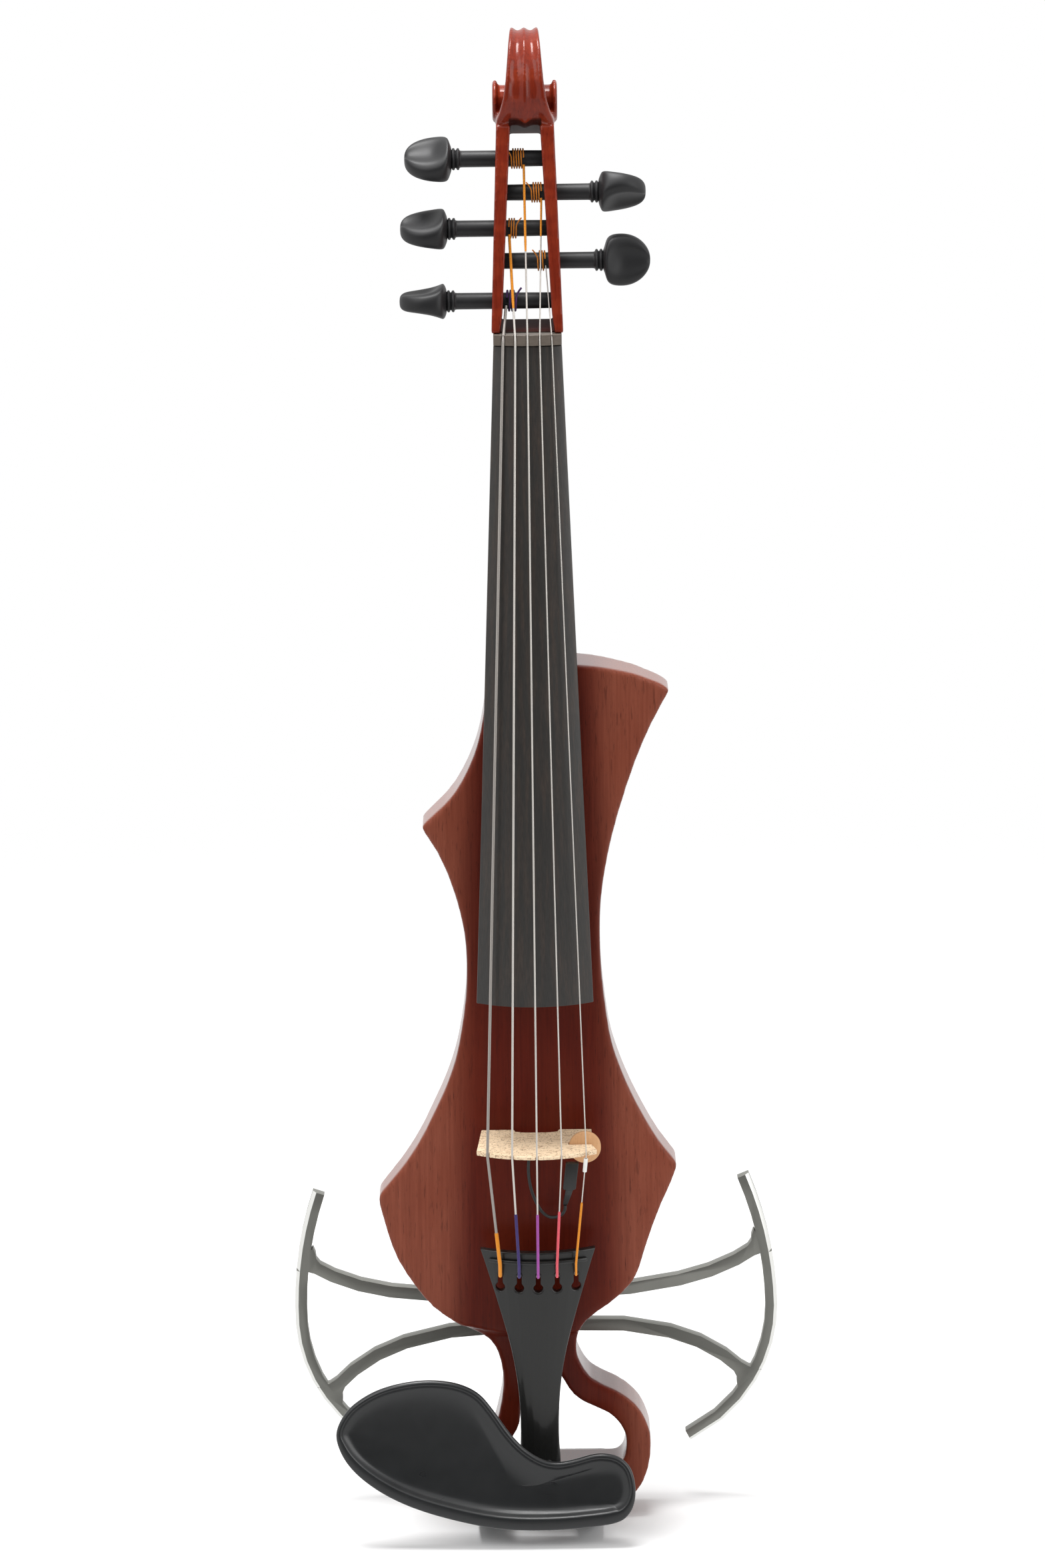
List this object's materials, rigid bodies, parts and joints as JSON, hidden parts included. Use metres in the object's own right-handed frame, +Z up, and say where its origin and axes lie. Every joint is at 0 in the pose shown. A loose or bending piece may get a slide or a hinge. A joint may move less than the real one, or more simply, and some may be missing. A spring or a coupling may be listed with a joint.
{
  "type": "electric violin",
  "caption": "Solid-body electric violin with a scroll, friction pegs, a cut-away waist, an open tail loop, a side chin rest and an arched metal shoulder frame.",
  "frame": {"origin": "under the two ears of the scroll, where a hanger's fork takes them", "axes": "+X to the right of someone who faces the strings, +Y from the strings to the back, +Z up towards the scroll"},
  "size_m": [0.2012, 0.0866, 0.6165],
  "materials": {
    "stained_maple": "satin stained maple, dark red-brown",
    "varnished_maple": "gloss varnish",
    "ebony": "rubbed matte",
    "black_wood": "polished",
    "bridge_maple": "raw, lightly sanded",
    "disc_maple": "raw",
    "black_plastic": "satin",
    "grey_nut": "filed",
    "steel": "nickel plated",
    "wire_steel": "wound flat wire",
    "aluminium": "satin with bright edge",
    "cork": "cork sheet",
    "green_board": "solder-masked board",
    "orange_silk": "wound silk",
    "purple_silk": "wound silk",
    "white_tube": "smooth",
    "battery_case": "satin"
  },
  "bodies": {
    "violin": {"body": "stained_maple", "neck": "varnished_maple", "fingerboard": "ebony", "nut": "grey_nut", "string_1": "wire_steel", "string_2": "wire_steel", "string_3": "wire_steel", "string_4": "wire_steel", "string_5": "wire_steel", "bridge": "bridge_maple", "pickup_disc": "disc_maple", "pickup_plug": "black_plastic", "pickup_lead": "black_plastic", "lead_grommet": "black_plastic", "string_sleeve": "white_tube", "tailpiece": "black_wood", "tailpiece_fret": "ebony", "end_button": "black_wood", "tailgut": "black_plastic", "saddle": "ebony", "chin_rest": "black_plastic", "chin_rest_cork_left": "cork", "chin_rest_cork_right": "cork", "shoulder_frame": "aluminium", "frame_riser": "black_plastic", "frame_screw_1": "steel", "frame_screw_2": "steel", "control_cover": "black_plastic", "battery_lid_pin": "steel", "cover_screw_1": "steel", "cover_screw_2": "steel", "cover_screw_3": "steel", "cover_screw_4": "steel", "battery": "battery_case", "battery_snap": "black_plastic", "preamp_board": "green_board", "volume_control": "steel", "tone_control": "steel", "output_jack": "steel", "jack_washer": "steel", "jack_nut": "steel"},
    "peg_top_left": {"peg_1": "black_wood", "peg_winding_1": "orange_silk"},
    "peg_top_right": {"peg_2": "black_wood", "peg_winding_2": "orange_silk"},
    "peg_middle_left": {"peg_3": "black_wood", "peg_winding_3": "orange_silk"},
    "peg_low_right": {"peg_4": "black_wood", "peg_winding_4": "orange_silk"},
    "peg_low_left": {"peg_5": "black_wood", "peg_winding_5": "purple_silk"},
    "volume": {"volume_knob": "black_plastic"},
    "tone": {"tone_knob": "black_plastic"},
    "lid": {"battery_lid": "black_plastic"},
    "barrel_left": {"clamp_barrel_left": "steel"},
    "barrel_right": {"clamp_barrel_right": "steel"},
    "foot": {"clamp_foot": "steel", "clamp_cork": "cork"}
  },
  "joints": [
    {"name": "peg_1_turn", "type": "hinge", "parent": "violin", "child": "peg_top_left", "pos_m": [0, -0.00888, -0.0133], "axis": [1, 0, 0], "continuous": true},
    {"name": "peg_2_turn", "type": "hinge", "parent": "violin", "child": "peg_top_right", "pos_m": [0, -0.01074, -0.0266], "axis": [1, 0, 0], "continuous": true},
    {"name": "peg_3_turn", "type": "hinge", "parent": "violin", "child": "peg_middle_left", "pos_m": [0, -0.0127, -0.0406], "axis": [1, 0, 0], "continuous": true},
    {"name": "peg_4_turn", "type": "hinge", "parent": "violin", "child": "peg_low_right", "pos_m": [0, -0.01449, -0.0534], "axis": [1, 0, 0], "continuous": true},
    {"name": "peg_5_turn", "type": "hinge", "parent": "violin", "child": "peg_low_left", "pos_m": [0, -0.01668, -0.069], "axis": [1, 0, 0], "continuous": true},
    {"name": "volume_turn", "type": "hinge", "parent": "violin", "child": "volume", "pos_m": [-0.014, 0, -0.4221], "axis": [0, 1, 0], "range_deg": [-150, 150]},
    {"name": "tone_turn", "type": "hinge", "parent": "violin", "child": "tone", "pos_m": [-0.014, 0, -0.4451], "axis": [0, 1, 0], "range_deg": [-150, 150]},
    {"name": "lid_swing", "type": "hinge", "parent": "violin", "child": "lid", "pos_m": [0.015, -0.0018, -0.411], "axis": [1, 0, 0], "range_deg": [0, 100]},
    {"name": "barrel_left_turn", "type": "hinge", "parent": "violin", "child": "barrel_left", "pos_m": [-0.02, 0, -0.5765], "axis": [0, 1, 0], "range_deg": [0, 1080]},
    {"name": "barrel_right_turn", "type": "hinge", "parent": "violin", "child": "barrel_right", "pos_m": [0.02, 0, -0.5765], "axis": [0, 1, 0], "range_deg": [0, 1080]},
    {"name": "foot_slide", "type": "slide", "parent": "violin", "child": "foot", "axis": [0, 1, 0], "range_m": [0, 0.0036]}
  ],
  "couplings": [
    {"joint": "barrel_left_turn", "follows": "foot_slide", "rad_per_m": 5236},
    {"joint": "barrel_right_turn", "follows": "foot_slide", "rad_per_m": 5236}
  ]
}
